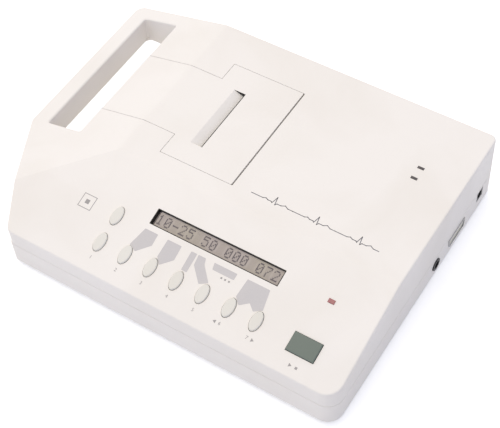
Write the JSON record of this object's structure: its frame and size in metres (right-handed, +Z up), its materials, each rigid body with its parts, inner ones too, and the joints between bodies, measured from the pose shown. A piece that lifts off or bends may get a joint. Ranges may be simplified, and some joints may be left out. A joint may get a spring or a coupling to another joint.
{
  "type": "portable ecg machine",
  "caption": "Flat wedge-shaped desk-top electrocardiograph with a carry handle slot, hinged paper lid, one-line display, oval keys and a green start key.",
  "frame": {"origin": "under the middle of the whole machine, on the surface that its feet stand on", "axes": "+X towards the socket side, +Y towards the back, +Z up"},
  "size_m": [0.3138, 0.23, 0.0617],
  "materials": {
    "casing_plastic": "fine satin texture",
    "key_plastic": "smooth satin",
    "start_plastic": "satin green",
    "black_plastic": "satin black",
    "display": "grey reflective display",
    "red_light": "red lens",
    "dark_light": "smoked lens",
    "steel": "plated steel",
    "alloy": "plain",
    "bronze": "sintered bronze",
    "gear_plastic": "white nylon",
    "ceramic": "glazed ceramic",
    "rubber": "matte",
    "paper": "coated paper",
    "card": "rolled card",
    "board": "green glass-fibre laminate",
    "cell_wrap": "shrink wrap",
    "door_plastic": "fine satin texture"
  },
  "bodies": {
    "casing": {"bottom_case": "casing_plastic", "top_cover": "casing_plastic", "handle_base": "casing_plastic", "display_bezel": "black_plastic", "power_inlet": "black_plastic", "output_jack": "black_plastic", "key_switches": "black_plastic", "main_board_parts": "black_plastic", "power_board_parts": "black_plastic", "paper_tray": "black_plastic", "paper_spindle": "black_plastic", "display_glass": "display", "overload_led": "red_light", "status_leds": "dark_light", "printer_frame": "steel", "idler_pin": "steel", "feed_motor": "steel", "head_pin": "steel", "head_springs": "steel", "lid_hinge_blocks": "steel", "case_screws": "steel", "handle_screws": "steel", "board_screws": "steel", "printer_screws": "steel", "door_screws": "steel", "patient_socket": "steel", "platen_bushes": "bronze", "patient_socket_insert": "gear_plastic", "feet": "rubber", "paper_strip": "paper", "main_board": "board", "power_board": "board", "key_board": "board", "display_board": "board", "battery_cells": "cell_wrap", "battery_door": "door_plastic"},
    "lid": {"printer_lid": "casing_plastic", "lid_hinge_arms": "steel"},
    "platen": {"platen_shaft": "steel", "platen_rubber": "rubber", "platen_gear": "gear_plastic"},
    "idler": {"idler_gear": "gear_plastic"},
    "motor_rotor": {"motor_pinion": "bronze"},
    "paper": {"paper_core": "card", "paper_roll": "paper"},
    "head": {"print_head": "ceramic", "head_bracket": "alloy"},
    "key_1": {"key_1": "key_plastic"},
    "key_2": {"key_2": "key_plastic"},
    "key_3": {"key_3": "key_plastic"},
    "key_4": {"key_4": "key_plastic"},
    "key_5": {"key_5": "key_plastic"},
    "key_6": {"key_6": "key_plastic"},
    "key_7": {"key_7": "key_plastic"},
    "key_8": {"key_8": "key_plastic"},
    "start_key": {"start_key": "start_plastic"}
  },
  "joints": [
    {"name": "lid_hinge", "type": "hinge", "parent": "casing", "child": "lid", "pos_m": [0.0234, 0.0315, 0.0569], "axis": [0, 1, 0], "range_deg": [0, 95]},
    {"name": "key_1_press", "type": "slide", "parent": "casing", "child": "key_1", "axis": [0, 0.2478, -0.9688], "range_m": [0, 0.0008], "stiffness_N_per_m": 400, "springref_m": -0.001},
    {"name": "key_2_press", "type": "slide", "parent": "casing", "child": "key_2", "axis": [0, 0.2478, -0.9688], "range_m": [0, 0.0008], "stiffness_N_per_m": 400, "springref_m": -0.001},
    {"name": "key_3_press", "type": "slide", "parent": "casing", "child": "key_3", "axis": [0, 0.2478, -0.9688], "range_m": [0, 0.0008], "stiffness_N_per_m": 400, "springref_m": -0.001},
    {"name": "key_4_press", "type": "slide", "parent": "casing", "child": "key_4", "axis": [0, 0.2478, -0.9688], "range_m": [0, 0.0008], "stiffness_N_per_m": 400, "springref_m": -0.001},
    {"name": "key_5_press", "type": "slide", "parent": "casing", "child": "key_5", "axis": [0, 0.2478, -0.9688], "range_m": [0, 0.0008], "stiffness_N_per_m": 400, "springref_m": -0.001},
    {"name": "key_6_press", "type": "slide", "parent": "casing", "child": "key_6", "axis": [0, 0.2478, -0.9688], "range_m": [0, 0.0008], "stiffness_N_per_m": 400, "springref_m": -0.001},
    {"name": "key_7_press", "type": "slide", "parent": "casing", "child": "key_7", "axis": [0, 0.2478, -0.9688], "range_m": [0, 0.0008], "stiffness_N_per_m": 400, "springref_m": -0.001},
    {"name": "key_8_press", "type": "slide", "parent": "casing", "child": "key_8", "axis": [0, 0.2478, -0.9688], "range_m": [0, 0.0008], "stiffness_N_per_m": 400, "springref_m": -0.001},
    {"name": "start_key_press", "type": "slide", "parent": "casing", "child": "start_key", "axis": [0, 0.2478, -0.9688], "range_m": [0, 0.0008], "stiffness_N_per_m": 400, "springref_m": -0.001},
    {"name": "platen_spin", "type": "hinge", "parent": "casing", "child": "platen", "pos_m": [-0.02805, 0.0315, 0.0425], "axis": [0, 1, 0], "continuous": true},
    {"name": "idler_spin", "type": "hinge", "parent": "casing", "child": "idler", "pos_m": [-0.00986, 0.0315, 0.03327], "axis": [0, 1, 0], "continuous": true},
    {"name": "motor_spin", "type": "hinge", "parent": "casing", "child": "motor_rotor", "pos_m": [-0.0009, 0.0315, 0.0205], "axis": [0, 1, 0], "continuous": true},
    {"name": "paper_spin", "type": "hinge", "parent": "casing", "child": "paper", "pos_m": [-0.0759, 0.0315, 0.0285], "axis": [0, 1, 0], "continuous": true},
    {"name": "head_lift", "type": "hinge", "parent": "casing", "child": "head", "pos_m": [-0.01785, 0.0315, 0.0315], "axis": [0, 1, 0], "range_deg": [0, 5], "stiffness_Nm_per_rad": 1, "springref_deg": -5.73, "deforming": ["head_springs"]}
  ],
  "couplings": [
    {"joint": "idler_spin", "follows": "platen_spin", "ratio": -0.88889},
    {"joint": "motor_spin", "follows": "platen_spin", "ratio": 2},
    {"joint": "paper_spin", "follows": "platen_spin", "ratio": 0.36842}
  ]
}
